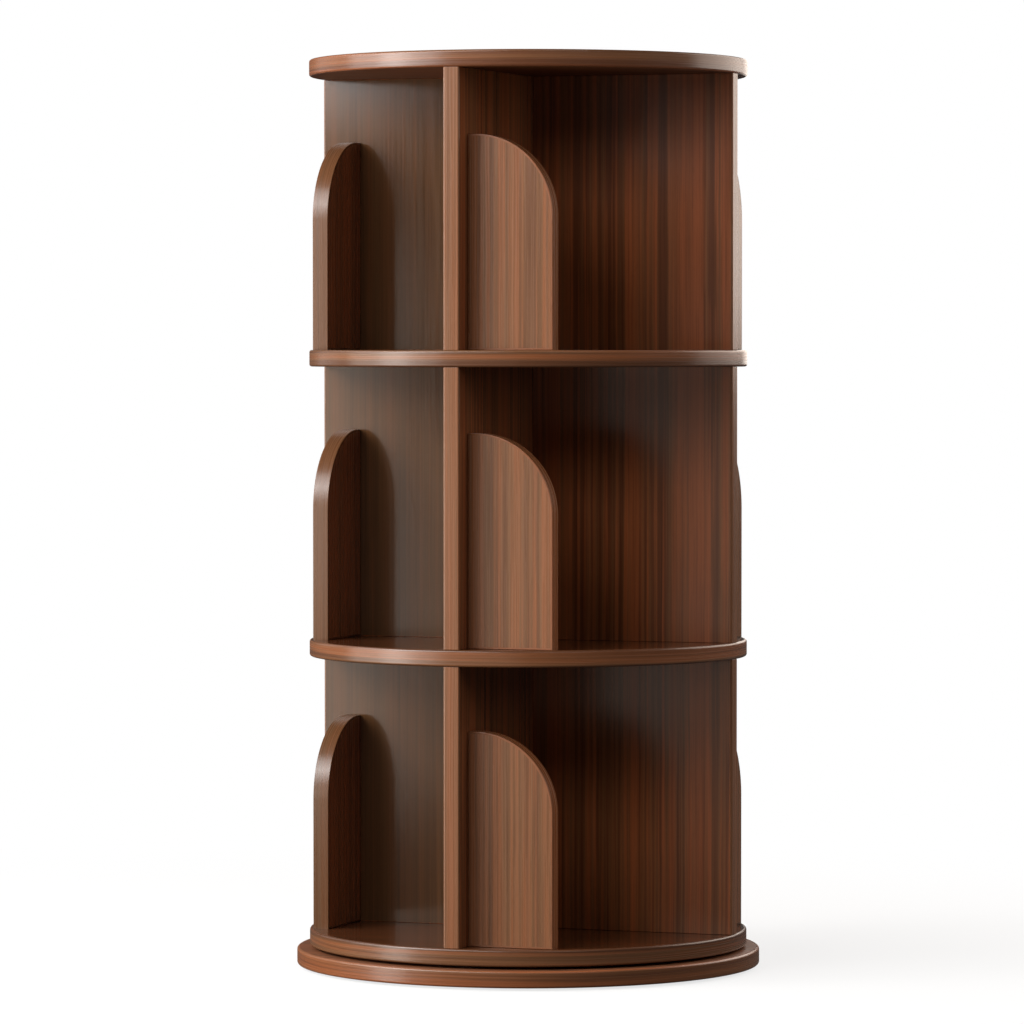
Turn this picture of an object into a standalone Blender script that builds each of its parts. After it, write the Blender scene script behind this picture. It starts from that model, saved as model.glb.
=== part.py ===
"""Rotating bookcase, in metres, +Z up, standing on z = 0 with its turning axis on Z.

Three tiers of four bays turn together on a ball-bearing ring that is let into the base disc.
Each tier is a cross of upright dividers with a low rounded book-end across the mouth of each bay.
"""

import math

import bmesh
import bpy
from mathutils import Matrix, Vector

# Boards
BOARD = 0.018  # thickness of every disc, divider and book-end
SHELF_RADIUS = 0.240
BASE_LIP = 0.014  # how far the base disc stands out past the shelves
TIER_CLEAR = 0.299  # from the top of one shelf to the underside of the next
SHELF_NAMES = ("bottom_shelf", "lower_shelf", "upper_shelf", "top_panel")
DIVIDER_INSET = 0.0015  # corners of the divider ends, in from the shelf rim
DISC_EDGE = 0.0015  # rounding along the rims of the discs
BOARD_EDGE = 0.0008  # rounding along the edges of the upright boards
FIT = 0.0003  # clearance between pieces that seat on or in each other

# Book-ends
BOOK_END_SETBACK = 0.0275  # outer face, in from the shelf rim
BOOK_END_INSET = 0.003  # outer foot corner, in from the shelf rim
BOOK_END_HEADROOM = 0.070  # from its top to the shelf above
BOOK_END_CURVE = 0.087  # radius of the rounded upper corner
BOOK_END_FLAT = 0.004  # least straight edge left beside the curve
PIN_INSET = 0.022  # dowel pins, in from the two ends of its foot
PIN_ROOT = 0.006  # how far a pin is glued up into the board

# Dowels
DOWEL_RADIUS = 0.004
DOWEL_DEPTH = 0.010  # how far a dowel goes into a board
DOWEL_CIRCLE = 0.150  # stack dowels, out from the axis
DOWEL_CHAMFER = 0.001
TIE_DEPTH = 0.020  # how far a tie dowel goes into a short divider

# Base and swivel bearing
SWIVEL_GAP = 0.003  # between the base disc and the bottom shelf
PAD_HEIGHT = 0.002
PAD_RADIUS = 0.015
PAD_INSET = 0.035  # pad centres, in from the rim of the base disc
BALL_CIRCLE = 0.130  # radius that the ball centres run on
BALL_RADIUS = 0.0025
RACE_CLEARANCE = 0.0005  # between a ball and its grooves
RING_SPACE = 0.001  # from the ball circle to the face of either ring
RING_WIDTH = 0.015
RING_LIP = 0.0009  # least wall above or below a groove
RING_LIFT = 0.001  # how far the inner ring stands above the outer one
CAGE_THICKNESS = 0.0012
CAGE_HEIGHT = 0.004
POCKET_CLEARANCE = 0.001  # around the rings, in the pockets of both discs

# Ring screws
SCREW_HEAD_RADIUS = 0.0036
SCREW_HEAD_DEPTH = 0.0024
SCREW_RADIUS = 0.0019
SCREW_BITE = 0.010  # thread length in the board
SCREW_POINT = 0.003
SCREW_FIRST_ANGLE = math.radians(45)
ACCESS_RADIUS = 0.007  # driver hole through the base disc

# Counts
BAYS = 4
PADS = 4
BALLS = 12
SCREWS = 3
DISC_SIDES = 72
RING_SIDES = 60
DOWEL_SIDES = 8
PAD_SIDES = 20
CURVE_STEPS = 8
GROOVE_STEPS = 4
BALL_SIDES = 8
BALL_RINGS = 5

# Sizes that follow
BASE_RADIUS = SHELF_RADIUS + BASE_LIP
TIER_PITCH = TIER_CLEAR + BOARD
BASE_Z = PAD_HEIGHT + FIT
SHELF_Z = BASE_Z + BOARD + SWIVEL_GAP
DIVIDER_REACH = math.sqrt((SHELF_RADIUS - DIVIDER_INSET) ** 2 - (BOARD / 2) ** 2)
BOOK_END_FACE = SHELF_RADIUS - BOOK_END_SETBACK
BOOK_END_REACH = math.sqrt((SHELF_RADIUS - BOOK_END_INSET) ** 2 - BOOK_END_FACE ** 2)
BOOK_END_ROOT = BOARD / 2 + FIT
SOCKET_RADIUS = DOWEL_RADIUS + FIT
SOCKET_DEPTH = DOWEL_DEPTH + FIT
GROOVE_RADIUS = BALL_RADIUS + RACE_CLEARANCE
GROOVE_HALF = math.sqrt(GROOVE_RADIUS ** 2 - RING_SPACE ** 2)  # half height of a groove's mouth
RING_HEIGHT = 2 * (GROOVE_HALF + RING_LIP) + RING_LIFT
BALL_LEVEL = RING_LIFT + RING_LIP + GROOVE_HALF  # ball centres, above the foot of the outer ring
POCKET_DEPTH = (RING_HEIGHT + RING_LIFT + 2 * FIT - SWIVEL_GAP) / 2
BEARING_Z = BASE_Z + BOARD - POCKET_DEPTH + FIT  # foot of the outer ring
SCREW_OFFSET = RING_SPACE + RING_WIDTH / 2  # screw circles, either side of the ball circle
CUT_OVER = BOARD / 4  # how far a cutter stands out of the face that it cuts


def clear_scene():
    for old in list(bpy.data.objects):
        bpy.data.objects.remove(old, do_unlink=True)


def make_material(name, colour, roughness, metallic=0.0):
    material = bpy.data.materials.new(name)
    material.use_nodes = True
    shader = material.node_tree.nodes["Principled BSDF"]
    shader.inputs["Base Color"].default_value = (*colour, 1.0)
    shader.inputs["Roughness"].default_value = roughness
    shader.inputs["Metallic"].default_value = metallic
    return material


def make_mesh(name, shape):
    """Mesh from a bmesh, with outward faces and smooth shading across shallow angles."""
    bmesh.ops.recalc_face_normals(shape, faces=shape.faces)
    mesh = bpy.data.meshes.new(name)
    shape.to_mesh(mesh)
    shape.free()
    mesh.shade_smooth()
    mesh.set_sharp_from_angle(angle=math.radians(32))
    return mesh


def add_object(name, mesh, material=None, parent=None, height=0.0, turn=0.0):
    """Object on the turning axis, at a height above its parent and turned about Z."""
    piece = bpy.data.objects.new(name, mesh)
    bpy.context.collection.objects.link(piece)
    piece.location.z = height
    piece.rotation_euler.z = turn
    piece.parent = parent
    if material:
        mesh.materials.clear()
        mesh.materials.append(material)
    return piece


def add_guide(name, mesh, parent=None, height=0.0):
    """Cutter or joining shape, which is no piece of the bookcase itself."""
    guide = add_object(name, mesh, parent=parent, height=height)
    guide.hide_render = True
    guide.display_type = 'WIRE'
    return guide


def round_edges(piece, width):
    bevel = piece.modifiers.new("round_edges", 'BEVEL')
    bevel.width = width
    bevel.segments = 1
    bevel.limit_method = 'ANGLE'
    bevel.angle_limit = math.radians(60)


def combine(piece, guide, operation):
    boolean = piece.modifiers.new(guide.name, 'BOOLEAN')
    boolean.operation = operation
    boolean.solver = 'EXACT'
    boolean.object = guide


def turn_profile(piece, sides):
    """Revolve the piece's outline about Z."""
    screw = piece.modifiers.new("turned", 'SCREW')
    screw.steps = sides
    screw.render_steps = sides
    screw.use_merge_vertices = True
    screw.merge_threshold = 0.00001
    screw.use_smooth_shade = True


def frozen_mesh(piece, guides=()):
    """The piece's mesh with its modifiers applied; the piece and its guides are removed."""
    graph = bpy.context.evaluated_depsgraph_get()
    mesh = bpy.data.meshes.new_from_object(piece.evaluated_get(graph))
    for used in (piece, *guides):
        bpy.data.objects.remove(used, do_unlink=True)
    return mesh


def outline_mesh(name, points, closed):
    """Edges through (radius, height) points, for turning about Z."""
    shape = bmesh.new()
    corners = [shape.verts.new((radius, 0.0, height)) for radius, height in points]
    for first, second in zip(corners, corners[1:]):
        shape.edges.new((first, second))
    if closed:
        shape.edges.new((corners[-1], corners[0]))
    return make_mesh(name, shape)


def add_cylinder(shape, start, end, radius, sides):
    """Closed cylinder between two points, added to a bmesh."""
    axis = Vector(end) - Vector(start)
    turn = Vector((0, 0, 1)).rotation_difference(axis).to_matrix().to_4x4()
    place = Matrix.Translation(Vector(start) + axis / 2) @ turn
    bmesh.ops.create_cone(shape, cap_ends=True, segments=sides, radius1=radius, radius2=radius,
                          depth=axis.length, matrix=place)


def cylinders_mesh(name, runs, sides):
    """Several separate cylinders in one mesh, each given as start, end and radius."""
    shape = bmesh.new()
    for start, end, radius in runs:
        add_cylinder(shape, start, end, radius, sides)
    return make_mesh(name, shape)


def box_mesh(name, low, high):
    shape = bmesh.new()
    bmesh.ops.create_cube(shape, size=1.0)
    size = [top - bottom for bottom, top in zip(low, high)]
    middle = [(top + bottom) / 2 for bottom, top in zip(low, high)]
    bmesh.ops.scale(shape, vec=size, verts=shape.verts)
    bmesh.ops.translate(shape, vec=middle, verts=shape.verts)
    return make_mesh(name, shape)


def polar(radius, angle, height):
    return (radius * math.cos(angle), radius * math.sin(angle), height)


def quarter_turns():
    return [bay * 2 * math.pi / BAYS for bay in range(BAYS)]


def screw_angles():
    return [SCREW_FIRST_ANGLE + number * 2 * math.pi / SCREWS for number in range(SCREWS)]


def stack_places():
    """Plan positions of the dowels that pin a shelf to its dividers."""
    return [polar(DOWEL_CIRCLE, angle, 0.0)[:2] for angle in quarter_turns()]


def pin_places():
    """Distances of a book-end's two pins along its foot."""
    return (BOOK_END_ROOT + PIN_INSET, BOOK_END_REACH - PIN_INSET)


def pin_sockets():
    """Plan positions of all the book-end pins on one shelf."""
    places = []
    for angle in quarter_turns():
        for along in pin_places():
            place = Matrix.Rotation(angle, 3, 'Z') @ Vector((along, BOARD / 2 - BOOK_END_FACE, 0.0))
            places.append(place[:2])
    return places


def upright_run(place, low, high, radius):
    return ((*place, low), (*place, high), radius)


def add_disc(name, radius, parent, height):
    runs = [upright_run((0.0, 0.0), 0.0, BOARD, radius)]
    disc = add_object(name, cylinders_mesh(name, runs, DISC_SIDES), WALNUT, parent, height)
    round_edges(disc, DISC_EDGE)
    return disc


def drill(board, runs):
    """Cut a set of separate round holes, given in the board's own space."""
    name = board.name + "_holes"
    guide = add_guide(name, cylinders_mesh(name, runs, DOWEL_SIDES), board.parent, board.location.z)
    combine(board, guide, 'DIFFERENCE')


def rout_pocket(disc, low, high):
    """Cut the ring-shaped pocket for the bearing, between two heights in the disc's own space."""
    reach = RING_SPACE + RING_WIDTH + POCKET_CLEARANCE
    inner = BALL_CIRCLE - reach
    outer = BALL_CIRCLE + reach
    points = ((outer, high), (outer, low), (inner, low), (inner, high))
    name = disc.name + "_pocket"
    guide = add_guide(name, outline_mesh(name, points, closed=True), disc.parent, disc.location.z)
    turn_profile(guide, RING_SIDES)
    combine(disc, guide, 'DIFFERENCE')


def groove_points(outwards):
    """Arc of a ball groove from its upper to its lower mouth, on the outer or the inner side."""
    half_angle = math.asin(GROOVE_HALF / GROOVE_RADIUS)
    points = []
    for step in range(GROOVE_STEPS + 1):
        angle = half_angle * (1 - 2 * step / GROOVE_STEPS)
        radius = BALL_CIRCLE + outwards * GROOVE_RADIUS * math.cos(angle)
        points.append((radius, BALL_LEVEL + GROOVE_RADIUS * math.sin(angle)))
    return points


def screw_points():
    """Outline of a countersunk screw, head up, from its head centre down to its point."""
    end = RING_HEIGHT + FIT + SCREW_BITE
    return ((0.0, -FIT), (SCREW_HEAD_RADIUS, -FIT), (SCREW_RADIUS, -FIT - SCREW_HEAD_DEPTH),
            (SCREW_RADIUS, SCREW_POINT - end), (0.0, -end))


def screw_hole_points():
    """Outline of the countersunk hole that a screw takes through its ring."""
    hole = SCREW_RADIUS + FIT
    wide = SCREW_HEAD_RADIUS + FIT
    return ((0.0, CUT_OVER), (wide, CUT_OVER), (wide, -FIT), (hole, -FIT - SCREW_HEAD_DEPTH),
            (hole, -RING_HEIGHT - CUT_OVER), (0.0, -RING_HEIGHT - CUT_OVER))


def turned_mesh(name, points):
    """Small turned shape about its own axis, with the sides of a dowel."""
    piece = add_object(name, outline_mesh(name, points, closed=False))
    turn_profile(piece, DOWEL_SIDES)
    return frozen_mesh(piece)


def ring_screw_copies(mesh, radius, level, flipped):
    """One copy of a screw or hole shape at each screw angle, upside down where it goes upwards."""
    shape = bmesh.new()
    for angle in screw_angles():
        first = len(shape.verts)
        shape.from_mesh(mesh)
        shape.verts.ensure_lookup_table()
        place = Matrix.Translation(polar(radius, angle, level))
        if flipped:
            place = place @ Matrix.Rotation(math.pi, 4, 'X')
        bmesh.ops.transform(shape, matrix=place, verts=shape.verts[first:])
    return shape


def add_ring(name, points, parent, screw_radius, head_level, flipped):
    """Bearing ring with its countersunk holes."""
    ring = add_object(name, outline_mesh(name, points, closed=True), STEEL, parent, BEARING_Z)
    turn_profile(ring, RING_SIDES)
    hole = turned_mesh(name + "_hole", screw_hole_points())
    holes = ring_screw_copies(hole, screw_radius, head_level, flipped)
    guide = add_guide(name + "_holes", make_mesh(name + "_holes", holes), parent, BEARING_Z)
    combine(ring, guide, 'DIFFERENCE')


def add_ring_screws(name, parent, screw_radius, head_level, flipped):
    screw = turned_mesh(name, screw_points())
    screw.materials.append(STEEL)
    for number, angle in enumerate(screw_angles(), start=1):
        piece = add_object(f"{name}_{number}", screw, parent=parent)
        piece.location = polar(screw_radius, angle, BEARING_Z + head_level)
        if flipped:
            piece.rotation_euler.x = math.pi


def build_base(fixed):
    base = add_disc("base_disc", BASE_RADIUS, fixed, BASE_Z)
    floor = BOARD - POCKET_DEPTH
    rout_pocket(base, floor, BOARD + CUT_OVER)
    deep = floor - SCREW_BITE - FIT
    runs = []
    for angle in screw_angles():
        place = polar(BALL_CIRCLE + SCREW_OFFSET, angle, 0.0)[:2]
        runs.append(upright_run(place, deep, floor + POCKET_DEPTH / 2, SCREW_RADIUS + FIT))
    access = polar(BALL_CIRCLE - SCREW_OFFSET, SCREW_FIRST_ANGLE, 0.0)[:2]
    runs.append(upright_run(access, -CUT_OVER, floor + POCKET_DEPTH / 2, ACCESS_RADIUS))
    drill(base, runs)

    pad_mesh = cylinders_mesh("foot_pad", [upright_run((0.0, 0.0), 0.0, PAD_HEIGHT, PAD_RADIUS)], PAD_SIDES)
    pad_mesh.materials.append(RUBBER)
    for number in range(PADS):
        angle = (number + 0.5) * 2 * math.pi / PADS
        piece = add_object(f"foot_pad_{number + 1}", pad_mesh, parent=fixed)
        piece.location = polar(BASE_RADIUS - PAD_INSET, angle, 0.0)


def build_bearing(fixed, carousel):
    near = BALL_CIRCLE + RING_SPACE
    far = near + RING_WIDTH
    outer = [(far, RING_HEIGHT), (far, 0.0), (near, 0.0), *reversed(groove_points(1)), (near, RING_HEIGHT)]
    add_ring("bearing_outer_ring", outer, fixed, BALL_CIRCLE + SCREW_OFFSET, RING_HEIGHT, False)
    add_ring_screws("outer_ring_screw", fixed, BALL_CIRCLE + SCREW_OFFSET, RING_HEIGHT, False)

    near = BALL_CIRCLE - RING_SPACE
    far = near - RING_WIDTH
    top = RING_LIFT + RING_HEIGHT
    inner = [(near, top), *groove_points(-1), (near, RING_LIFT), (far, RING_LIFT), (far, top)]
    add_ring("bearing_inner_ring", inner, carousel, BALL_CIRCLE - SCREW_OFFSET, RING_LIFT, True)
    add_ring_screws("inner_ring_screw", carousel, BALL_CIRCLE - SCREW_OFFSET, RING_LIFT, True)

    half = CAGE_THICKNESS / 2
    tall = CAGE_HEIGHT / 2
    band = [(BALL_CIRCLE + half, tall), (BALL_CIRCLE + half, -tall),
            (BALL_CIRCLE - half, -tall), (BALL_CIRCLE - half, tall)]
    cage_level = BEARING_Z + BALL_LEVEL
    cage = add_object("ball_cage", outline_mesh("ball_cage", band, closed=True), STEEL, height=cage_level)
    turn_profile(cage, RING_SIDES)
    shape = bmesh.new()
    for number in range(BALLS):
        place = Matrix.Translation(polar(BALL_CIRCLE, number * 2 * math.pi / BALLS, 0.0))
        bmesh.ops.create_uvsphere(shape, u_segments=BALL_SIDES, v_segments=BALL_RINGS,
                                  radius=BALL_RADIUS, matrix=place)
    balls = add_guide("cage_balls", make_mesh("cage_balls", shape), height=cage_level)
    combine(cage, balls, 'UNION')


def build_shelves(carousel):
    """The four discs that turn, each drilled for the dowels and pins that meet it."""
    last = len(SHELF_NAMES) - 1
    for level, name in enumerate(SHELF_NAMES):
        disc = add_disc(name, SHELF_RADIUS, carousel, SHELF_Z + level * TIER_PITCH)
        low = BOARD - SOCKET_DEPTH if level == 0 else -CUT_OVER
        high = SOCKET_DEPTH if level == last else BOARD + CUT_OVER
        runs = [upright_run(place, low, high, SOCKET_RADIUS) for place in stack_places()]
        if level < last:
            for place in pin_sockets():
                runs.append(upright_run(place, BOARD - SOCKET_DEPTH, BOARD + CUT_OVER, SOCKET_RADIUS))
        if level == 0:
            rout_pocket(disc, -CUT_OVER, POCKET_DEPTH)
            for angle in screw_angles():
                place = polar(BALL_CIRCLE - SCREW_OFFSET, angle, 0.0)[:2]
                end = POCKET_DEPTH + SCREW_BITE + FIT
                runs.append(upright_run(place, POCKET_DEPTH / 2, end, SCREW_RADIUS + FIT))
        drill(disc, runs)


def divider_mesh(name, inner, stack_centres, tie_run):
    """Upright board along X from inner to the rim, drilled for its stack dowels and its tie dowel."""
    top = TIER_CLEAR - FIT
    mesh = box_mesh(name, (inner, -BOARD / 2, FIT), (DIVIDER_REACH, BOARD / 2, top))
    board = add_object(name, mesh, WALNUT)
    round_edges(board, BOARD_EDGE)
    tie_start, tie_end = tie_run
    runs = [((*tie_start, TIER_CLEAR / 2), (*tie_end, TIER_CLEAR / 2), SOCKET_RADIUS)]
    for along in stack_centres:
        runs.append(upright_run((along, 0.0), FIT - CUT_OVER, FIT + SOCKET_DEPTH, SOCKET_RADIUS))
        runs.append(upright_run((along, 0.0), top - SOCKET_DEPTH, top + CUT_OVER, SOCKET_RADIUS))
    drill(board, runs)
    return frozen_mesh(board, [bpy.data.objects[name + "_holes"]])


def book_end_mesh():
    """Low board across a bay's mouth, square at the divider and rounded at its upper outer corner."""
    top = TIER_CLEAR - BOOK_END_HEADROOM
    width = BOOK_END_REACH - BOOK_END_ROOT
    curve = min(BOOK_END_CURVE, width - BOOK_END_FLAT, top - BOOK_END_FLAT)
    shape = bmesh.new()
    points = [(BOOK_END_ROOT, top), (BOOK_END_ROOT, FIT), (BOOK_END_REACH, FIT)]
    for step in range(CURVE_STEPS + 1):
        angle = step * math.pi / 2 / CURVE_STEPS
        points.append((BOOK_END_REACH - curve + curve * math.cos(angle), top - curve + curve * math.sin(angle)))
    face = shape.faces.new([shape.verts.new((x, -BOOK_END_FACE, z)) for x, z in points])
    grown = bmesh.ops.extrude_face_region(shape, geom=[face])["geom"]
    moved = [item for item in grown if isinstance(item, bmesh.types.BMVert)]
    bmesh.ops.translate(shape, vec=(0.0, BOARD, 0.0), verts=moved)
    board = add_object("book_end", make_mesh("book_end", shape), WALNUT)
    round_edges(board, BOARD_EDGE)

    centre = BOARD / 2 - BOOK_END_FACE
    runs = [upright_run((along, centre), -DOWEL_DEPTH, FIT + PIN_ROOT, DOWEL_RADIUS) for along in pin_places()]
    pins = add_guide("book_end_pins", cylinders_mesh("book_end_pins", runs, DOWEL_SIDES))
    combine(board, pins, 'UNION')
    return frozen_mesh(board, [pins])


def dowel_mesh(name, length):
    """Dowel that stands on its object's origin, with chamfered ends."""
    runs = [upright_run((0.0, 0.0), 0.0, length, DOWEL_RADIUS)]
    dowel = add_object(name, cylinders_mesh(name, runs, DOWEL_SIDES), BEECH)
    round_edges(dowel, DOWEL_CHAMFER)
    return frozen_mesh(dowel)


def build_stack_dowels(carousel):
    """Dowels through the middle shelves, and blind ones in the bottom shelf and the top panel."""
    last = len(SHELF_NAMES) - 1
    end_mesh = dowel_mesh("end_dowel", 2 * DOWEL_DEPTH + FIT)
    through_mesh = dowel_mesh("through_dowel", 2 * (DOWEL_DEPTH + FIT) + BOARD)
    for level, name in enumerate(SHELF_NAMES):
        foot = SHELF_Z + level * TIER_PITCH - FIT - DOWEL_DEPTH
        if level == 0:
            foot = SHELF_Z + BOARD - DOWEL_DEPTH
        mesh = end_mesh if level in (0, last) else through_mesh
        for number, place in enumerate(stack_places(), start=1):
            piece = add_object(f"{name}_dowel_{number}", mesh, parent=carousel)
            piece.location = (*place, foot)


def build_tiers(carousel):
    short_root = BOARD / 2 + FIT
    tie_reach = short_root + TIE_DEPTH
    across = ((0.0, -BOARD), (0.0, BOARD))
    endwise = ((0.0, 0.0), (tie_reach + FIT, 0.0))
    long_mesh = divider_mesh("long_divider", -DIVIDER_REACH, (-DOWEL_CIRCLE, DOWEL_CIRCLE), across)
    short_mesh = divider_mesh("short_divider", short_root, (DOWEL_CIRCLE,), endwise)
    end_mesh = book_end_mesh()
    tie_mesh = dowel_mesh("tie_dowel", 2 * tie_reach)
    for tier in range(1, len(SHELF_NAMES)):
        floor = SHELF_Z + BOARD + (tier - 1) * TIER_PITCH
        add_object(f"long_divider_{tier}", long_mesh, parent=carousel, height=floor, turn=math.pi / 2)
        add_object(f"short_divider_right_{tier}", short_mesh, parent=carousel, height=floor)
        add_object(f"short_divider_left_{tier}", short_mesh, parent=carousel, height=floor, turn=math.pi)
        tie = add_object(f"tie_dowel_{tier}", tie_mesh, parent=carousel)
        tie.location = (-tie_reach, 0.0, floor + TIER_CLEAR / 2)
        tie.rotation_euler.y = math.pi / 2
        for bay, angle in enumerate(quarter_turns(), start=1):
            add_object(f"book_end_{tier}_{bay}", end_mesh, parent=carousel, height=floor, turn=angle)


clear_scene()
WALNUT = make_material("walnut_board", (0.150, 0.070, 0.041), 0.42)
STEEL = make_material("zinc_steel", (0.56, 0.57, 0.58), 0.34, 1.0)
BEECH = make_material("beech_dowel", (0.60, 0.42, 0.25), 0.62)
RUBBER = make_material("rubber_pad", (0.030, 0.028, 0.027), 0.85)

fixed_frame = add_object("fixed_frame", None)
carousel_axis = add_object("carousel_axis", None)
build_base(fixed_frame)
build_bearing(fixed_frame, carousel_axis)
build_shelves(carousel_axis)
build_stack_dowels(carousel_axis)
build_tiers(carousel_axis)
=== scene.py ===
# Rotating bookcase: the boards, their edge bands and finishes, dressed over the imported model
import math

import bmesh
import bpy
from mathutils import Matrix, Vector


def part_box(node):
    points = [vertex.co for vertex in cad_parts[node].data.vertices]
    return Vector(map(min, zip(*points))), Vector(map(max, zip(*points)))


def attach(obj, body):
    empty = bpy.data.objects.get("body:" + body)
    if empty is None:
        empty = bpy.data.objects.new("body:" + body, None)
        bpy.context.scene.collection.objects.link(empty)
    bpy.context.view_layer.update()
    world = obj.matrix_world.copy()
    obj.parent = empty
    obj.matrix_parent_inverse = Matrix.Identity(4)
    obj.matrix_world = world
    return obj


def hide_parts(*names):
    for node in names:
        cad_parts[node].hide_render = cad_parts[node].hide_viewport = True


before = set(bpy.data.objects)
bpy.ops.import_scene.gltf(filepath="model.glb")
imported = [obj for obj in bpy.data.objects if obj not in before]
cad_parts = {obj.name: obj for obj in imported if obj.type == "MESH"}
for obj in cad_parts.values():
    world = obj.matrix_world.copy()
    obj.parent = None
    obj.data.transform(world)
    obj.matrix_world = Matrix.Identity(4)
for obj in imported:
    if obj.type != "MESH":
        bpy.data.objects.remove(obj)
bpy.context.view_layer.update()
print("frame loaded:", len(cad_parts), "nodes")


# small helpers for working by hand: open, pick, close
def freshStart():
    bpy.ops.object.select_all(action="DESELECT")


def makeActive(piece):
    freshStart()
    piece.select_set(True)
    bpy.context.view_layer.objects.active = piece


def openPiece(piece):
    makeActive(piece)
    bpy.ops.object.mode_set(mode="EDIT")


def closePiece():
    bpy.ops.object.mode_set(mode="OBJECT")


def pick(piece, kind, test):
    bpy.ops.mesh.select_mode(type=kind)
    bpy.ops.mesh.select_all(action="DESELECT")
    shape = bmesh.from_edit_mesh(piece.data)
    for part in {"VERT": shape.verts, "EDGE": shape.edges, "FACE": shape.faces}[kind]:
        part.select_set(test(part))
    bmesh.update_edit_mesh(piece.data)


def settle(piece):
    makeActive(piece)
    bpy.ops.object.transform_apply(location=True, rotation=True, scale=True)


def applyModifiers(piece):
    makeActive(piece)
    for step in list(piece.modifiers):
        bpy.ops.object.modifier_apply(modifier=step.name)


def cut(piece, cutter, operation="DIFFERENCE"):
    step = piece.modifiers.new("cut", "BOOLEAN")
    step.operation = operation
    step.object = cutter
    applyModifiers(piece)
    bpy.data.objects.remove(cutter, do_unlink=True)


def smooth(piece, degrees=35):
    makeActive(piece)
    bpy.ops.object.shade_smooth_by_angle(angle=math.radians(degrees))
    piece.modifiers.new("evenLight", "WEIGHTED_NORMAL").keep_sharp = True
    applyModifiers(piece)


# clears the slivers that a cut can leave
def cleanMesh(piece, reach=0.000005):
    openPiece(piece)
    bpy.ops.mesh.select_all(action="SELECT")
    bpy.ops.mesh.remove_doubles(threshold=reach)
    bpy.ops.mesh.dissolve_degenerate(threshold=reach)
    bpy.ops.mesh.select_all(action="SELECT")
    bpy.ops.mesh.fill_holes(sides=6)
    closePiece()


def near(value, target, slack=0.00002):
    return abs(value - target) < slack


squareOn = 0.99  # a face is square to an axis when its normal has this share along it


def isLevel(edge):
    return near(edge.verts[0].co.z, edge.verts[1].co.z)


def copyPiece(source, name, place=(0, 0, 0), turn=(0, 0, 0)):
    made = source.copy()
    made.data = source.data.copy()
    made.name = made.data.name = name
    bpy.context.scene.collection.objects.link(made)
    made.location = place
    made.rotation_euler = turn
    settle(made)
    return made


def joinAll(pieces):
    freshStart()
    for piece in pieces:
        piece.select_set(True)
    bpy.context.view_layer.objects.active = pieces[0]
    bpy.ops.object.join()
    return pieces[0]


# a finished piece rides on its body and stands in for one CAD node
def fitOut(piece, body, node):
    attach(piece, body)
    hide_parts(node)


# finishes: a node with its settings, its sockets filled or linked
def addNode(tree, kind, settings=None, **sockets):
    made = tree.nodes.new("ShaderNode" + kind)
    for key, value in (settings or {}).items():
        setattr(made, key, value)
    for key, value in sockets.items():
        socket = made.inputs[key.replace("_", " ")]
        if isinstance(value, bpy.types.NodeSocket):
            tree.links.new(value, socket)
        else:
            socket.default_value = value
    return made


def mixColours(tree, share, first, second, blend="MIX"):
    made = tree.nodes.new("ShaderNodeMix")
    made.data_type = "RGBA"
    made.blend_type = blend
    for index, value in ((0, share), (6, first), (7, second)):
        if isinstance(value, bpy.types.NodeSocket):
            tree.links.new(value, made.inputs[index])
        else:
            made.inputs[index].default_value = value
    return made.outputs[2]


def ramp(tree, value, stops):
    made = addNode(tree, "ValToRGB", Fac=value)
    bar = made.color_ramp.elements
    while len(bar) < len(stops):
        bar.new(0.5)
    for element, (place, colour) in zip(bar, stops):
        element.position = place
        element.color = (*colour, 1.0)
    return made.outputs[0]


def grey(shade):
    return (shade, shade, shade)


# a colour as a picture shows it, made linear for the shader
def srgb(red, green, blue):
    return tuple((c / 255 / 12.92) if c <= 10 else ((c / 255 + 0.055) / 1.055) ** 2.4
                 for c in (red, green, blue))


walnutLook = {
    "dark": srgb(84, 45, 26),
    "grey": srgb(112, 72, 45),
    "red": srgb(134, 72, 40),
    "flame": srgb(151, 81, 46),
    "plain": srgb(124, 78, 50),
    "zones": (0.017, 1.60),       # each layer of grain: metres across it, metres along it
    "streaks": (0.0045, 0.70),
    "lines": (0.0017, 0.30),
    "pores": (0.0005, 0.012),
    "noiseRoughness": 0.55,
    "zoneStops": (0.34, 0.47, 0.60),  # levels of the zones for dark, grey and red wood
    "flameRange": (0.50, 0.68),   # levels of the streaks that turn to flame
    "darkRange": (0.47, 0.33),    # and to dark
    "lineShades": ((0.32, 0.80), (0.50, 1.00), (0.70, 1.10)),  # level, brightness
    "lineRange": (0.3, 0.7),      # levels of the lines between the two ends of a roughness
    "poreShades": ((0.34, 0.72), (0.44, 1.00)),
    "poreShare": 0.35,
    "waver": 0.003,               # metres that the grain wanders sideways
    "waverScale": 7.0,
    "roughness": (0.23, 0.31),
    "satin": (0.20, 0.26),
    "gloss": (0.10, 0.15),
    "matt": (0.42, 0.52),
    "poreDepth": 0.00005,
    "poreBump": 0.35,
}


def grain(tree, place, run, layer, offset, detail=2.0):
    width, length = walnutLook[layer]
    scale = [1 / (length if axis in run else width) for axis in "xyz"]
    spread = addNode(tree, "Mapping", Vector=place, Location=offset, Scale=scale)
    made = addNode(tree, "TexNoise", Vector=spread.outputs[0], Scale=1.0, Detail=detail,
                   Roughness=walnutLook["noiseRoughness"])
    return made.outputs[0]


def shadeRamp(tree, value, stops):
    return ramp(tree, value, [(place, grey(shade)) for place, shade in stops])


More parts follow.
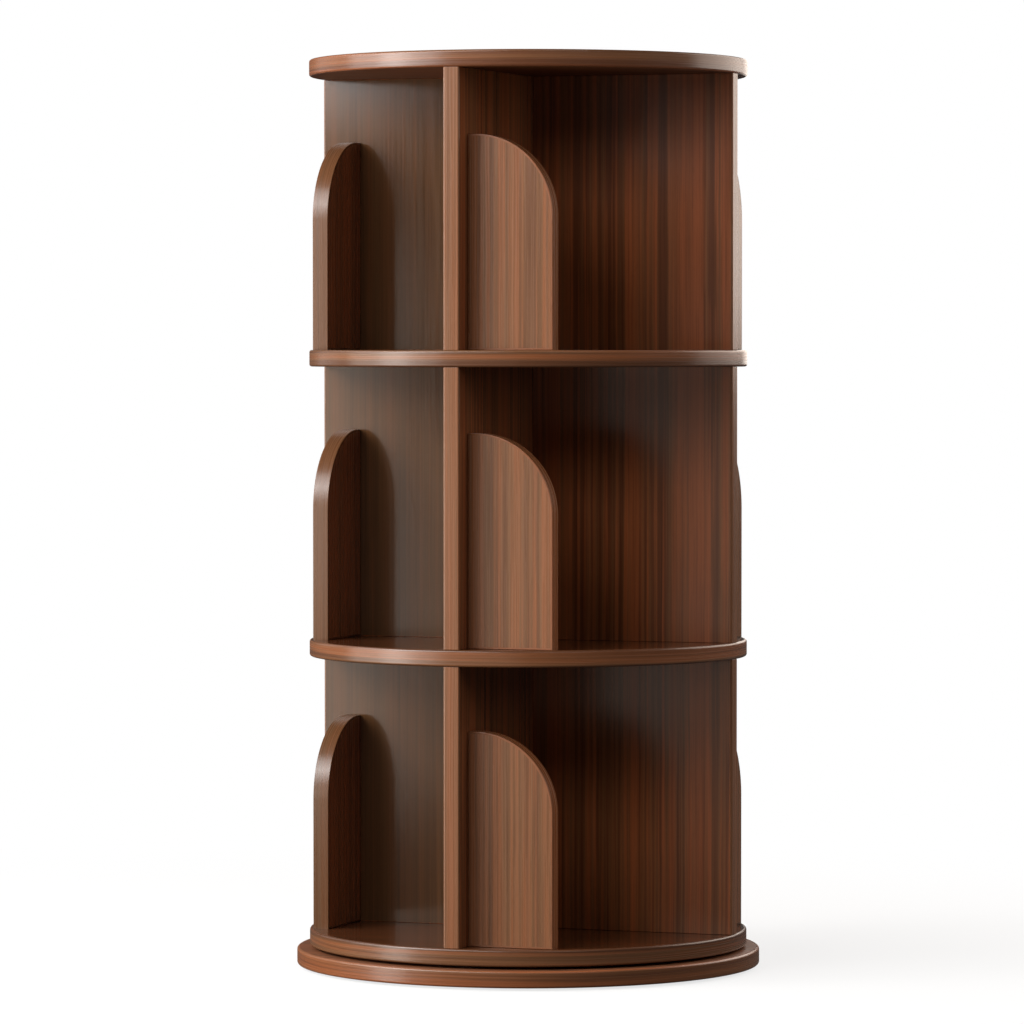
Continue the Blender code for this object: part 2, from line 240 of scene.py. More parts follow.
# run names the axes that the grain follows, offset picks the spot in the noise,
# calm fades the figure towards one plain brown, tint multiplies the colour: tone, and on some leaves painted
# shade
def walnutFoil(name, run, offset, calm, tint=(1, 1, 1), roughness=walnutLook["roughness"], shine=0.5):
    look = walnutLook
    material = bpy.data.materials.new(name)
    material.use_nodes = True
    tree = material.node_tree
    shader = tree.nodes["Principled BSDF"]
    place = addNode(tree, "TexCoord").outputs["Object"]

    drift = addNode(tree, "TexNoise", Vector=place, Scale=look["waverScale"], Detail=2.0)
    centred = addNode(tree, "VectorMath", {"operation": "SUBTRACT"})
    tree.links.new(drift.outputs["Color"], centred.inputs[0])
    centred.inputs[1].default_value = grey(0.5)
    scaled = addNode(tree, "VectorMath", {"operation": "SCALE"}, Scale=look["waver"])
    tree.links.new(centred.outputs[0], scaled.inputs[0])
    moved = addNode(tree, "VectorMath", {"operation": "ADD"})
    tree.links.new(place, moved.inputs[0])
    tree.links.new(scaled.outputs[0], moved.inputs[1])
    wood = moved.outputs[0]

    zones = grain(tree, wood, run, "zones", offset)
    streaks = grain(tree, wood, run, "streaks", offset, detail=3.0)
    lines = grain(tree, wood, run, "lines", offset)
    pores = grain(tree, wood, run, "pores", offset)

    tones = (look["dark"], look["grey"], look["red"])
    colour = ramp(tree, zones, list(zip(look["zoneStops"], tones)))
    for tone, (low, high) in (("flame", look["flameRange"]), ("dark", look["darkRange"])):
        share = addNode(tree, "MapRange", Value=streaks, From_Min=low, From_Max=high)
        colour = mixColours(tree, share.outputs[0], colour, (*look[tone], 1))
    colour = mixColours(tree, calm, colour, (*look["plain"], 1))
    threads = shadeRamp(tree, lines, look["lineShades"])
    colour = mixColours(tree, 1 - calm / 2, colour, threads, "MULTIPLY")
    specks = shadeRamp(tree, pores, look["poreShades"])
    colour = mixColours(tree, look["poreShare"], colour, specks, "MULTIPLY")
    colour = mixColours(tree, 1.0, colour, (*tint, 1), "MULTIPLY")
    tree.links.new(colour, shader.inputs["Base Color"])

    low, high = look["lineRange"]
    gloss = addNode(tree, "MapRange", Value=lines, From_Min=low, From_Max=high,
                    To_Min=roughness[0], To_Max=roughness[1])
    tree.links.new(gloss.outputs[0], shader.inputs["Roughness"])
    shader.inputs["Specular IOR Level"].default_value = shine
    bump = addNode(tree, "Bump", Height=pores, Distance=look["poreDepth"], Strength=look["poreBump"])
    tree.links.new(bump.outputs[0], shader.inputs["Normal"])
    return material


dividerFoil = walnutFoil("walnutDivider", "z", (1.3, 0.4, 0), 0.2, (1.08, 1.01, 0.91), walnutLook["satin"])
# the back leaf: darker and greyer than the divider leaf, half way towards the painted shade of the left
# boards' fronts
backHalfShadeFoil = walnutFoil("walnutBackHalfShade", "z", (2.6, 1.5, 0.3), 0.4, (0.78, 0.80, 0.76), walnutLook["satin"])
# the left boards' front leaf: darker and greyer, partly the veneer's own tone, partly painted shade on those
# fronts
leftToneAndShadeFoil = walnutFoil("walnutLeftToneAndShade", "z", (4.7, 2.4, 0.6), 0.7, (0.41, 0.50, 0.48), walnutLook["gloss"])
bookEndFoil = walnutFoil("walnutBookEnd", "z", (7.1, 3.9, 2.2), 0.48, (0.94, 1.07, 1.11))
# the shelves' leaf is darkened as painted shade on the shelf floors
shelfShadedFoil = walnutFoil("walnutShelfShaded", "x", (0, 3.1, 1.2), 0.3, (0.42, 0.41, 0.41), walnutLook["gloss"])
baseFoil = walnutFoil("walnutBase", "x", (0, 5.3, 2.6), 0.4, (0.85, 0.87, 0.88), walnutLook["matt"])
topFoil = walnutFoil("walnutTop", "x", (0, 1.7, 3.3), 0.4, (0.80, 0.82, 0.86), walnutLook["matt"], 0.1)
rimBand = walnutFoil("walnutRim", "xy", (0.2, 0, 4.1), 0.25, (0.80, 0.90, 0.92))
outerBand = walnutFoil("walnutOuter", "xy", (0.2, 0, 4.1), 0.25, (0.95, 1.00, 1.01))
endBand = walnutFoil("walnutEnd", "z", (0.5, 0.3, 5.0), 0.7, (0.93, 1.03, 1.09))
curveBandX = walnutFoil("walnutCurveX", "xz", (0.1, 2.2, 0), 0.65)
# the bands of the book-ends in bays 2 and 4 are darker: partly the veneer's tone, partly painted shade
curveBandYToneAndShade = walnutFoil("walnutCurveYToneAndShade", "yz", (2.2, 0.1, 0), 0.65, (0.53, 0.63, 0.63))
mottleStops = (0.35, 0.65)


# two tones that mottle into each other, with the roughness in step
def plainFinish(name, first, second, roughness, metallic, scale):
    material = bpy.data.materials.new(name)
    material.use_nodes = True
    tree = material.node_tree
    shader = tree.nodes["Principled BSDF"]
    place = addNode(tree, "TexCoord").outputs["Object"]
    mottle = addNode(tree, "TexNoise", Vector=place, Scale=scale, Detail=4.0)
    colour = ramp(tree, mottle.outputs[0], list(zip(mottleStops, (first, second))))
    tree.links.new(colour, shader.inputs["Base Color"])
    shader.inputs["Metallic"].default_value = metallic
    low, high = roughness
    shine = addNode(tree, "MapRange", Value=mottle.outputs[0], To_Min=low, To_Max=high)
    tree.links.new(shine.outputs[0], shader.inputs["Roughness"])
    return material


zincSteel = plainFinish("zincSteel", srgb(176, 179, 182), srgb(205, 207, 208), (0.22, 0.40), 1.0, 220)
beechWood = plainFinish("beechWood", srgb(196, 158, 116), srgb(216, 181, 140), (0.50, 0.68), 0.0, 400)
padRubber = plainFinish("padRubber", srgb(26, 25, 24), srgb(44, 42, 40), (0.70, 0.90), 0.0, 900)
print("finishes made:", len(bpy.data.materials))


# edge bands: every board is foil on its faces with a glued band round its open edges
bandLook = {"width": 0.0020, "seam": 0.00022, "seamDepth": 0.00014}
seat = 0.00025  # metres that an upright board is let out at its foot and head, to close its clearance


# a fine groove round the picked faces, where the band meets the foil
def scoreFaces(margin):
    bpy.ops.mesh.inset(thickness=margin)
    bpy.ops.mesh.inset(thickness=bandLook["seam"] / 2, depth=-bandLook["seamDepth"])
    bpy.ops.mesh.inset(thickness=bandLook["seam"] / 2, depth=bandLook["seamDepth"])


def paint(piece, index, test):
    pick(piece, "FACE", test)
    piece.active_material_index = index
    bpy.ops.object.material_slot_assign()


# joinery: round sockets for the dowels and pins, a ring-shaped pocket for the bearing
jointLook = {"clearance": 0.0003, "dowelRadius": 0.004, "sides": 32, "ringSides": 180,
             "pocketRoom": 0.001, "driverHole": 0.007,
             "screwRadius": 0.0019, "screws": 3, "screwFirst": 45}  # the first screw's angle in degrees
dowelNodes = [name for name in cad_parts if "dowel" in name]


def rod(radius, centre, length, turn=(0, 0, 0), sides=jointLook["sides"]):
    freshStart()
    bpy.ops.mesh.primitive_cylinder_add(vertices=sides, radius=radius, depth=length,
                                        location=centre, rotation=turn)
    made = bpy.context.object
    settle(made)
    return made


def ringBlank(inner, outer, low, high):
    made = rod(outer, (0, 0, (low + high) / 2), high - low, sides=jointLook["ringSides"])
    openPiece(made)
    pick(made, "FACE", lambda face: len(face.verts) > 4)
    bpy.ops.mesh.inset(thickness=outer - inner)
    bpy.ops.mesh.bridge_edge_loops()
    closePiece()
    return made


# centre, length and turn of a dowel
def dowelRun(node):
    low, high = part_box(node)
    size = high - low
    lying = size.x > size.z
    return (low + high) / 2, max(size), (0, math.pi / 2 if lying else 0, 0)


# a socket for each dowel that reaches into the node's board
def dowelSockets(board):
    room = jointLook["clearance"]
    boardLow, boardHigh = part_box(board)
    cutters = []
    for node in dowelNodes:
        low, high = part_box(node)
        if all(boardLow[axis] < high[axis] and boardHigh[axis] > low[axis] for axis in range(3)):
            centre, length, turn = dowelRun(node)
            cutters.append(rod(jointLook["dowelRadius"] + room, centre, length + 2 * room, turn))
    return cutters


def drill(piece, cutters):
    if cutters:
        cut(piece, joinAll(cutters))


# fluted dowels, modelled upright on the origin once for each length
dowelLook = {"sides": 36, "flutes": 12, "fluteScale": 0.93, "fluteSlack": 0.05, "chamfer": 0.001, "steps": 2}
dowelPatterns = {}


def makeDowel(length):
    dowel = rod(jointLook["dowelRadius"], (0, 0, 0), length, sides=dowelLook["sides"])
    dowel.data.materials.append(beechWood)
    openPiece(dowel)
    pick(dowel, "EDGE", isLevel)
    bpy.ops.mesh.bevel(offset=dowelLook["chamfer"], segments=dowelLook["steps"], affect="EDGES")
    turns, share, slack = dowelLook["flutes"] / 2, dowelLook["fluteScale"], dowelLook["fluteSlack"]
    pick(dowel, "VERT", lambda vert: near(math.sin(turns * math.atan2(vert.co.y, vert.co.x)), 0, slack))
    bpy.ops.transform.resize(value=(share, share, 1), center_override=(0, 0, 0))
    closePiece()
    smooth(dowel)
    return dowel


def putDowel(name, length, centre, turn=(0, 0, 0)):
    key = round(length, 5)
    if key not in dowelPatterns:
        dowelPatterns[key] = makeDowel(length)
    return copyPiece(dowelPatterns[key], name, centre, turn)


# the five discs
discLook = {"sides": 256, "round": 0.0025, "steps": 5, "band": 0.0030}
discFinishes = {"base_disc": (baseFoil, outerBand), "top_panel": (topFoil, outerBand)}  # face, edge
bookEndLook = {"round": 0.0008, "steps": 3, "curve": 0.087, "curveSteps": 40,
               "pinInset": 0.022, "pinRoot": 0.006}
ringSpan = [vert.co.xy.length for ring in ("bearing_outer_ring", "bearing_inner_ring")
            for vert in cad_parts[ring].data.vertices]
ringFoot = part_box("bearing_outer_ring")[0].z
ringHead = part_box("bearing_inner_ring")[1].z


# where the first book-end's two pins stand
def pinSpots():
    low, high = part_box("book_end_1_1")
    middle = (low.y + high.y) / 2
    inset = bookEndLook["pinInset"]
    return [Vector((x, middle, low.z)) for x in (low.x + inset, high.x - inset)]


def bearingPocket(low, high):
    room = jointLook["pocketRoom"]
    return ringBlank(min(ringSpan) - room, max(ringSpan) + room, low, high)


# each screw's place with its foot and head level
def screwSpots(kind):
    low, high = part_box(kind + "_1")
    spread = ((low + high) / 2).xy.length
    for number in range(jointLook["screws"]):
        angle = math.radians(jointLook["screwFirst"] + number * 360 / jointLook["screws"])
        yield Vector((spread * math.cos(angle), spread * math.sin(angle), 0)), low.z, high.z


def pilotHoles(kind):
    room = jointLook["clearance"]
    return [rod(jointLook["screwRadius"] + room, (spot.x, spot.y, (low + high) / 2), high - low + 2 * room)
            for spot, low, high in screwSpots(kind)]


def pinSockets(top):
    room = jointLook["clearance"]
    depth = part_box("bottom_shelf")[1].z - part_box("book_end_1_1")[0].z + room
    cutters = []
    for spot in pinSpots():
        for bay in (1, 2, 3, 4):
            spot.xy = (-spot.y, spot.x)  # a quarter turn on
            cutters.append(rod(jointLook["dowelRadius"] + room, (spot.x, spot.y, top), 2 * depth))
    return cutters


# cutters that overlap each other go in turn
def workDisc(disc, node):
    room = jointLook["clearance"]
    low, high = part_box(node)
    drill(disc, dowelSockets(node))
    if node == "base_disc":
        cut(disc, bearingPocket(ringFoot - room, high.z + room))
        drill(disc, pilotHoles("outer_ring_screw"))
        spot, _, _ = next(screwSpots("inner_ring_screw"))
        cut(disc, rod(jointLook["driverHole"], (spot.x, spot.y, low.z), 4 * (high.z - low.z)))
    elif node != "top_panel":
        drill(disc, pinSockets(high.z))
    if node == "bottom_shelf":
        cut(disc, bearingPocket(low.z - room, ringHead + room))
        drill(disc, pilotHoles("inner_ring_screw"))


def makeDisc(node, body):
    low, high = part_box(node)
    radius = high.x
    disc = rod(radius, (0, 0, (low.z + high.z) / 2), high.z - low.z, sides=discLook["sides"])
    disc.name = disc.data.name = node + "_board"
    # shelves without an entry take the darkened shelf leaf, which is painted shade, and the rim band
    for finish in discFinishes.get(node, (shelfShadedFoil, rimBand)):
        disc.data.materials.append(finish)
    openPiece(disc)
    pick(disc, "EDGE", isLevel)
    bpy.ops.mesh.bevel(offset=discLook["round"], segments=discLook["steps"], affect="EDGES")
    pick(disc, "FACE", lambda face: len(face.verts) > 4)
    scoreFaces(discLook["band"] - discLook["round"])
    inside = radius - discLook["band"] - bandLook["seam"] / 2
    paint(disc, 1, lambda face: face.verts[0].co.xy.length > inside and len(face.verts) == 4)
    closePiece()
    workDisc(disc, node)
    smooth(disc)
    fitOut(disc, body, node)


makeDisc("base_disc", "base")
for shelfName in ("bottom_shelf", "lower_shelf", "upper_shelf", "top_panel"):
    makeDisc(shelfName, "carousel")
print("discs made")


# the upright dividers
dividerLook = {"round": 0.0018, "steps": 4, "ease": 0.0005, "easeSteps": 2, "facing": 0.9}


def makeDivider(node, bandedEnds):
    low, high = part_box(node)
    low.z -= seat
    high.z += seat
    freshStart()
    bpy.ops.mesh.primitive_cube_add(size=1, location=(low + high) / 2, scale=high - low)
    board = bpy.context.object
    board.name = board.data.name = node + "_board"
    settle(board)
    board.data.materials.append(dividerFoil)
    board.data.materials.append(endBand)
    openPiece(board)
    thick = min(high.x - low.x, high.y - low.y)
    pinch = 1 - 2 * bandLook["seamDepth"] / thick
    axis = 0 if high.x - low.x > high.y - low.y else 1
    ends = [high[axis] if side > 0 else low[axis] for side in bandedEnds]
    pick(board, "EDGE", lambda edge: not isLevel(edge) and any(
        all(near(vert.co[axis], end) for vert in edge.verts) for end in ends))
    bpy.ops.mesh.bevel(offset=dividerLook["round"], segments=dividerLook["steps"], affect="EDGES")
    pick(board, "EDGE", isLevel)
    bpy.ops.mesh.bevel(offset=dividerLook["ease"], segments=dividerLook["easeSteps"], affect="EDGES")
    for side, end in zip(bandedEnds, ends):  # three cuts, the middle one pressed in for the seam
        seam = end - side * bandLook["width"]
        for step in (-1, 0, 1):
            bpy.ops.mesh.select_all(action="SELECT")
            point = Vector((0, 0, 0))
            point[axis] = seam + step * bandLook["seam"] / 2
            normal = Vector((0, 0, 0))
            normal[axis] = 1
            bpy.ops.mesh.bisect(plane_co=point, plane_no=normal)
        pick(board, "VERT", lambda vert: near(vert.co[axis], seam))
        squeeze = (1, pinch, 1) if axis == 0 else (pinch, 1, 1)
        bpy.ops.transform.resize(value=squeeze, center_override=(low + high) / 2)
        paint(board, 1, lambda face: (face.calc_center_median()[axis] - seam) * side > 0)
    closePiece()
    drill(board, dowelSockets(node))
    smooth(board)
    return board


# a different leaf of foil on the side of a board that looks this way
def faceWith(board, finish, axis, side):
    board.data.materials.append(finish)
    openPiece(board)
    paint(board, len(board.data.materials) - 1,
          lambda face: face.material_index == 0 and face.normal[axis] * side > dividerLook["facing"])
    closePiece()


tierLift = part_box("lower_shelf")[0].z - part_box("bottom_shelf")[0].z
longBoard = makeDivider("long_divider_1", (-1, 1))
rightBoard = makeDivider("short_divider_right_1", (1,))
leftBoard = copyPiece(rightBoard, "short_divider_left_1_board", turn=(0, 0, math.pi))
# the faces turned away at rest take the back leaf, which carries part of that painted shade
faceWith(longBoard, backHalfShadeFoil, 0, -1)
faceWith(rightBoard, backHalfShadeFoil, 1, 1)
# the left boards' fronts take the darker, greyer leaf: partly the veneer's own tone, partly painted shade
faceWith(leftBoard, leftToneAndShadeFoil, 1, -1)
faceWith(leftBoard, backHalfShadeFoil, 1, 1)
for node, board in (("long_divider", longBoard), ("short_divider_right", rightBoard),
                    ("short_divider_left", leftBoard)):
    for tier in (2, 3):
        made = copyPiece(board, f"{node}_{tier}_board", (0, 0, (tier - 1) * tierLift))
        fitOut(made, "carousel", f"{node}_{tier}")
    fitOut(board, "carousel", f"{node}_1")
print("dividers made")


# the book-ends, each with two pins glued into its foot
def makeBookEnd():
    low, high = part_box("book_end_1_1")
    pinFoot = low.z
    low.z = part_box("long_divider_1")[0].z - seat  # the board's own foot, above its pins
    freshStart()
    bpy.ops.mesh.primitive_cube_add(size=1, location=(low + high) / 2, scale=high - low)
    board = bpy.context.object
    settle(board)
    for finish in (bookEndFoil, curveBandX, beechWood):
        board.data.materials.append(finish)
    openPiece(board)
    pick(board, "EDGE", lambda edge: all(near(v.co.x, high.x) and near(v.co.z, high.z) for v in edge.verts))
    bpy.ops.mesh.bevel(offset=bookEndLook["curve"], segments=bookEndLook["curveSteps"], affect="EDGES")
    pick(board, "EDGE", lambda edge: near(edge.verts[0].co.y, edge.verts[1].co.y))
    bpy.ops.mesh.bevel(offset=bookEndLook["round"], segments=bookEndLook["steps"], affect="EDGES")
    pick(board, "FACE", lambda face: len(face.verts) > 4 and abs(face.normal.y) > squareOn)
    scoreFaces(bandLook["width"] - bookEndLook["round"])
    paint(board, 1, lambda face: len(face.verts) == 4)
    closePiece()
    length = low.z + bookEndLook["pinRoot"] - pinFoot
    pins = [putDowel("pin", length, (spot.x, spot.y, pinFoot + length / 2)) for spot in pinSpots()]
    cut(board, joinAll(pins), "UNION")
    smooth(board)
    return board


bookEnd = makeBookEnd()
for tier in (1, 2, 3):
    for bay in (1, 2, 3, 4):
        made = copyPiece(bookEnd, f"book_end_{tier}_{bay}_board", (0, 0, (tier - 1) * tierLift),
                         (0, 0, (bay - 1) * math.pi / 2))
        # bays 2 and 4 take the darker band leaf, partly painted shade
        if bay in (2, 4):
            made.data.materials[1] = curveBandYToneAndShade
        fitOut(made, "carousel", f"book_end_{tier}_{bay}")
bpy.data.objects.remove(bookEnd, do_unlink=True)
print("book-ends made")

for node in dowelNodes:
    centre, length, turn = dowelRun(node)
    fitOut(putDowel(node + "_fluted", length, centre, turn), "carousel", node)
for pattern in dowelPatterns.values():
    bpy.data.objects.remove(pattern, do_unlink=True)
print("dowels made")


# the bearing: two grooved rings with a caged row of balls between them
bearingLook = {"ballCircle": 0.130, "ballRadius": 0.0025, "ballSteps": (32, 16), "balls": 12,
               "grooveRadius": 0.003, "grooveSteps": (180, 24),
               "cageThick": 0.0012, "cageTall": 0.004, "round": 0.0003, "steps": 2}
ballLevel = sum(corner.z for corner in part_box("ball_cage")) / 2


def makeRing(node, body, screwKind):
    low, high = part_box(node)
    spread = [vert.co.xy.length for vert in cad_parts[node].data.vertices]
    ring = ringBlank(min(spread), max(spread), low.z, high.z)
    ring.name = ring.data.name = node + "_grooved"
    ring.data.materials.append(zincSteel)
    openPiece(ring)
    pick(ring, "EDGE", lambda edge: isLevel(edge)
         and near(edge.verts[0].co.xy.length, edge.verts[1].co.xy.length))
    bpy.ops.mesh.bevel(offset=bearingLook["round"], segments=bearingLook["steps"], affect="EDGES")
    closePiece()
    freshStart()
    ringSteps, tubeSteps = bearingLook["grooveSteps"]
    bpy.ops.mesh.primitive_torus_add(major_radius=bearingLook["ballCircle"], major_segments=ringSteps,
                                     minor_radius=bearingLook["grooveRadius"], minor_segments=tubeSteps,
                                     location=(0, 0, ballLevel))
    cut(ring, bpy.context.object)
    drill(ring, pilotHoles(screwKind))
    headDown = body == "carousel"
    drill(ring, [countersink(spot, foot if headDown else head, headDown)
                 for spot, foot, head in screwSpots(screwKind)])
    cleanMesh(ring)
    smooth(ring)
    fitOut(ring, body, node)


# countersunk screws with a cross recess and a running thread
screwLook = {"headRadius": 0.0036, "headDepth": 0.0024, "sides": 48, "recess": (0.0044, 0.0009, 0.0026),
             "plain": 0.0062, "step": 0.0002, "coreRadius": 0.0014,
             "pitch": 0.0014, "threadSize": 0.0006, "threadSteps": 24, "point": 0.003, "tip": 0.08}


# the cone that is cut away for a head, run out past the ring's face
def countersink(spot, top, headDown):
    room = jointLook["clearance"]
    shank = jointLook["screwRadius"]
    flare = (screwLook["headRadius"] - shank) / screwLook["headDepth"]
    over = 2 * room
    middle = (over - screwLook["headDepth"]) / 2
    freshStart()
    bpy.ops.mesh.primitive_cone_add(vertices=screwLook["sides"], radius1=shank + room,
                                    radius2=screwLook["headRadius"] + room + flare * over,
                                    depth=screwLook["headDepth"] + over,
                                    location=(spot.x, spot.y, top - middle if headDown else top + middle),
                                    rotation=(math.pi if headDown else 0, 0, 0))
    made = bpy.context.object
    settle(made)
    return made


# the next length of the screw, narrowed to a share of its width
def growDown(drop, share):
    bpy.ops.mesh.extrude_region_move(TRANSFORM_OT_translate={"value": (0, 0, -drop)})
    bpy.ops.transform.resize(value=(share, share, 1), center_override=(0, 0, 0))


# head up on the origin, pointing down
def makeScrew(length):
    look = screwLook
    shank = jointLook["screwRadius"]
    screw = rod(look["headRadius"], (0, 0, -look["headDepth"] / 2), look["headDepth"], sides=look["sides"])
    screw.data.materials.append(zincSteel)
    openPiece(screw)
    pick(screw, "FACE", lambda face: face.normal.z < -squareOn)
    bpy.ops.transform.resize(value=(shank / look["headRadius"],) * 2 + (1,), center_override=(0, 0, 0))
    growDown(look["plain"], 1)
    growDown(look["step"], look["coreRadius"] / shank)
    threaded = length - look["headDepth"] - look["plain"] - look["step"]
    growDown(threaded - look["point"], 1)
    growDown(look["point"], look["tip"])
    closePiece()

    freshStart()
    bpy.ops.mesh.primitive_circle_add(vertices=3, radius=look["threadSize"], fill_type="NOTHING",
                                      location=(look["coreRadius"], 0, look["point"] - length),
                                      rotation=(math.pi / 2, math.pi / 2, 0))
    thread = bpy.context.object
    settle(thread)
    winding = thread.modifiers.new("winding", "SCREW")
    winding.axis = "Z"
    winding.screw_offset = look["pitch"]
    winding.iterations = int((threaded - look["point"]) / look["pitch"])
    winding.steps = winding.render_steps = look["threadSteps"]
    winding.use_merge_vertices = False
    applyModifiers(thread)
    openPiece(thread)
    bpy.ops.mesh.select_all(action="SELECT")
    bpy.ops.mesh.fill_holes(sides=0)
    bpy.ops.mesh.normals_make_consistent(inside=False)
    closePiece()
    cut(screw, thread, "UNION")

    for turn in (0, math.pi / 2):
        freshStart()
        bpy.ops.mesh.primitive_cube_add(size=1, scale=look["recess"], rotation=(0, 0, turn))
        slot = bpy.context.object
        settle(slot)
        cut(screw, slot)
    cleanMesh(screw)
    smooth(screw)
    return screw


makeRing("bearing_outer_ring", "base", "outer_ring_screw")
makeRing("bearing_inner_ring", "carousel", "inner_ring_screw")
screwLow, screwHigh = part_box("outer_ring_screw_1")
screwPattern = makeScrew(screwHigh.z - screwLow.z)
for kind, body, turn in (("outer_ring_screw", "base", 0), ("inner_ring_screw", "carousel", math.pi)):
    for number, (spot, low, high) in enumerate(screwSpots(kind), 1):
        top = low if turn else high
        made = copyPiece(screwPattern, f"{kind}_{number}_threaded", (spot.x, spot.y, top), (turn, 0, 0))
        fitOut(made, body, f"{kind}_{number}")
bpy.data.objects.remove(screwPattern, do_unlink=True)

half = bearingLook["cageThick"] / 2
cage = ringBlank(bearingLook["ballCircle"] - half, bearingLook["ballCircle"] + half,
                 ballLevel - bearingLook["cageTall"] / 2, ballLevel + bearingLook["cageTall"] / 2)
cage.name = cage.data.name = "ball_cage_filled"
cage.data.materials.append(zincSteel)
balls = []
meridians, parallels = bearingLook["ballSteps"]
for number in range(bearingLook["balls"]):
    angle = number * 2 * math.pi / bearingLook["balls"]
    freshStart()
    bpy.ops.mesh.primitive_uv_sphere_add(segments=meridians, ring_count=parallels,
                                         radius=bearingLook["ballRadius"],
                                         location=(bearingLook["ballCircle"] * math.cos(angle),
                                                   bearingLook["ballCircle"] * math.sin(angle), ballLevel))
    balls.append(bpy.context.object)
    settle(balls[-1])
cut(cage, joinAll(balls), "UNION")
smooth(cage)
fitOut(cage, "cage", "ball_cage")
print("bearing made")

# the foot pads
padLook = {"sides": 72, "round": 0.0006, "steps": 3, "grooves": 3, "rib": 0.0012, "depth": 0.0003}


def makePad(node):
    low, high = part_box(node)
    centre = (low + high) / 2
    radius = (high.x - low.x) / 2
    pad = rod(radius, centre, high.z - low.z, sides=padLook["sides"])
    pad.name = pad.data.name = node + "_ribbed"
    pad.data.materials.append(padRubber)
    openPiece(pad)
    pick(pad, "EDGE", lambda edge: all(near(vert.co.z, low.z) for vert in edge.verts))
    bpy.ops.mesh.bevel(offset=padLook["round"], segments=padLook["steps"], affect="EDGES")
    pick(pad, "FACE", lambda face: face.normal.z < -squareOn)
    for groove in range(padLook["grooves"]):  # a flat rib, then down, across and up again
        bpy.ops.mesh.inset(thickness=padLook["rib"])
        bpy.ops.mesh.inset(thickness=padLook["rib"] / 4, depth=-padLook["depth"])
        bpy.ops.mesh.inset(thickness=padLook["rib"] / 2)
        bpy.ops.mesh.inset(thickness=padLook["rib"] / 4, depth=padLook["depth"])
    closePiece()
    smooth(pad)
    fitOut(pad, "base", node)


for number in (1, 2, 3, 4):
    makePad(f"foot_pad_{number}")
print("pads made")


# floor, light and camera
viewLook = {"azimuth": 20.05, "distance": 6.01, "height": 0.683, "pitch": -1.768, "yaw": 0.17,
            "lens": 192.5, "sensor": 36, "reach": 200}


def around(azimuth, distance, height):
    angle = math.radians(azimuth)
    return Vector((distance * math.sin(angle), -distance * math.cos(angle), height))


freshStart()
bpy.ops.object.camera_add(location=around(viewLook["azimuth"], viewLook["distance"], viewLook["height"]),
                          rotation=(math.radians(90 + viewLook["pitch"]), 0,
                                    math.radians(viewLook["azimuth"] + viewLook["yaw"])))
camera = bpy.context.object
camera.data.lens = viewLook["lens"]
camera.data.sensor_width = viewLook["sensor"]
camera.data.clip_end = viewLook["reach"]
bpy.context.scene.camera = camera

lampLook = {"distance": 2.3, "aim": Vector((0, 0, 0.5)), "white": (1, 1, 1), "warm": (1.0, 0.88, 0.78)}


# degrees round from the camera, height, width and height of the panel, watts
def softbox(name, azimuth, height, size, power, tint=lampLook["white"], sheen=True):
    spot = around(viewLook["azimuth"] + azimuth, lampLook["distance"], height)
    freshStart()
    bpy.ops.object.light_add(type="AREA", location=spot)
    lamp = bpy.context.object
    lamp.name = name
    lamp.rotation_euler = (lampLook["aim"] - spot).to_track_quat("-Z", "Y").to_euler()
    lamp.data.shape = "RECTANGLE"
    lamp.data.size, lamp.data.size_y = size
    lamp.data.energy = power
    lamp.data.color = tint
    lamp.visible_camera = False
    lamp.visible_glossy = sheen


softbox("keyHigh", -50, 2.08, (3.1, 1.0), 60)
softbox("keySide", -74, 0.40, (2.5, 0.9), 22, (1.0, 0.95, 0.87))
softbox("keyMiddle", -73, 1.46, (2.5, 0.8), 19)
softbox("keyStrip", -70, 0.70, (0.7, 2.4), 25, (1.0, 0.96, 0.90))
softbox("keyTop", -85, 1.25, (1.5, 0.6), 8)
softbox("keyUpper", -61.5, 1.42, (1.4, 0.86), 17)
softbox("rimLeft", -125, 1.10, (1.2, 1.6), 4)
softbox("rimHigh", -105, 2.15, (1.3, 0.9), 7)
softbox("rimRight", 120, 1.50, (2.4, 1.8), 38, lampLook["warm"])
softbox("rimBack", 160, 1.05, (0.9, 0.9), 7, lampLook["warm"])
softbox("fillFront", 20, 1.95, (1.4, 0.8), 5)
softbox("fillRight", 72, 1.40, (1.0, 1.6), 13, sheen=False)
softbox("fillLow", -25, 0.30, (1.6, 0.6), 2, (1.0, 0.85, 0.70))

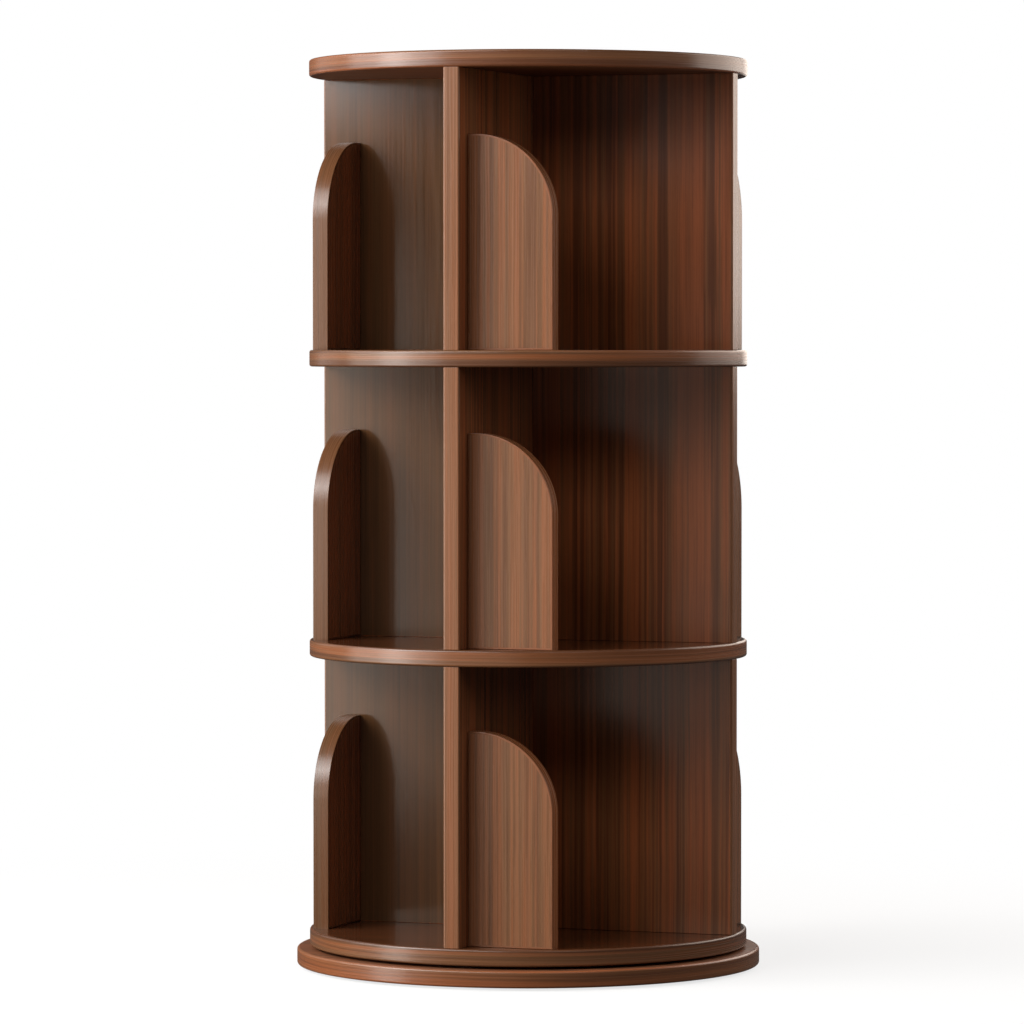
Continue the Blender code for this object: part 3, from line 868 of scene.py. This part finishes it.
studioLook = {"seen": 1.0, "felt": 0.08, "colour": (1, 1, 1, 1)}  # to the camera, to the pieces
world = bpy.data.worlds.new("studio")
bpy.context.scene.world = world
world.use_nodes = True
sky = world.node_tree
seen = addNode(sky, "Background", Color=studioLook["colour"], Strength=studioLook["seen"])
felt = sky.nodes["Background"]
felt.inputs["Color"].default_value = studioLook["colour"]
felt.inputs["Strength"].default_value = studioLook["felt"]
path = addNode(sky, "LightPath")
blend = addNode(sky, "MixShader")
sky.links.new(path.outputs["Is Camera Ray"], blend.inputs[0])
sky.links.new(felt.outputs[0], blend.inputs[1])
sky.links.new(seen.outputs[0], blend.inputs[2])
sky.links.new(blend.outputs[0], sky.nodes["World Output"].inputs[0])

# pale paper: it takes a soft shadow near the base and is plain white from "far" on
floorLook = {"reach": 40, "gap": 0.0003, "nearby": 0.3, "far": 1.5, "least": 0.75,
             "colour": (0.9, 0.9, 0.9, 1), "roughness": 0.9, "glow": 1.0}
freshStart()
bpy.ops.mesh.primitive_plane_add(size=floorLook["reach"], location=(0, 0, -floorLook["gap"]))
floor = bpy.context.object
floor.name = "paleFloor"
settle(floor)
floor.visible_diffuse = False
floor.visible_glossy = False
floor.visible_shadow = False
paper = bpy.data.materials.new("paleFloor")
paper.use_nodes = True
tree = paper.node_tree
place = addNode(tree, "TexCoord").outputs["Object"]
reach = addNode(tree, "VectorMath", {"operation": "LENGTH"})
tree.links.new(place, reach.inputs[0])
fade = addNode(tree, "MapRange", {"interpolation_type": "SMOOTHSTEP"}, Value=reach.outputs["Value"],
               From_Min=floorLook["nearby"], From_Max=floorLook["far"], To_Min=floorLook["least"])
matt = tree.nodes["Principled BSDF"]
matt.inputs["Base Color"].default_value = floorLook["colour"]
matt.inputs["Roughness"].default_value = floorLook["roughness"]
light = addNode(tree, "Emission", Strength=floorLook["glow"])
both = addNode(tree, "MixShader")
tree.links.new(fade.outputs[0], both.inputs[0])
tree.links.new(matt.outputs[0], both.inputs[1])
tree.links.new(light.outputs[0], both.inputs[2])
tree.links.new(both.outputs[0], tree.nodes["Material Output"].inputs[0])
floor.data.materials.append(paper)
bpy.context.scene.view_settings.view_transform = "Standard"
print("stage lit")
